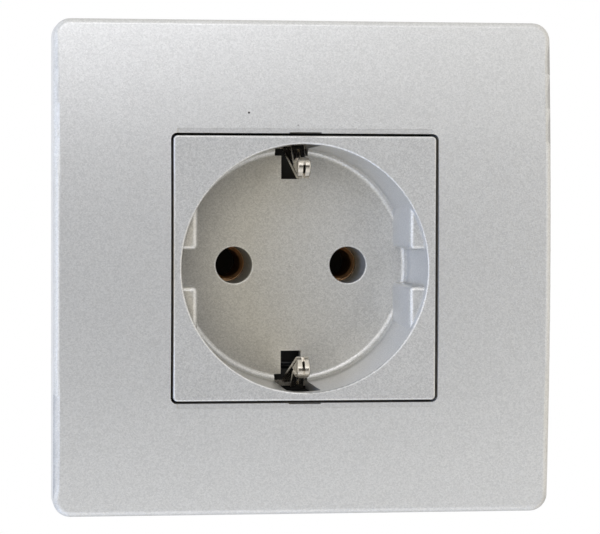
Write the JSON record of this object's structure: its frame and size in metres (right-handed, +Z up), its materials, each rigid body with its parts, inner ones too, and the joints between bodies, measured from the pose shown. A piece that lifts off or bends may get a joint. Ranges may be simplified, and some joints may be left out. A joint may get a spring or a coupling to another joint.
{
  "type": "type f wall socket",
  "caption": "Flush silver wall socket with side earth fingers: round plug recess in a square insert, bowed cover frame, support plate and rear housing with terminals.",
  "frame": {"origin": "midway between the two fixing slots, on the wall plane", "axes": "+X to the right of a person facing the socket, +Y into the wall, +Z up"},
  "size_m": [0.08, 0.0411, 0.079],
  "materials": {
    "silver_paint": "satin silver metallic paint on plastic",
    "black_plastic": "matte black moulding",
    "zinc_steel": "bright zinc plated steel",
    "screw_steel": "yellow zinc plated steel",
    "spring_steel": "blued spring steel",
    "nickel_brass": "bright nickel plated brass",
    "contact_brass": "plain brass"
  },
  "bodies": {
    "root": {"cover_frame": "silver_paint", "socket_insert": "silver_paint", "support_frame": "zinc_steel", "rear_housing": "black_plastic", "earth_bracket": "nickel_brass", "line_contact": "contact_brass", "neutral_contact": "contact_brass", "line_contact_spring": "spring_steel", "neutral_contact_spring": "spring_steel", "line_terminal_clamp": "zinc_steel", "neutral_terminal_clamp": "zinc_steel", "earth_terminal_clamp": "zinc_steel", "terminal_screws": "screw_steel", "housing_screws": "screw_steel"}
  },
  "joints": []
}
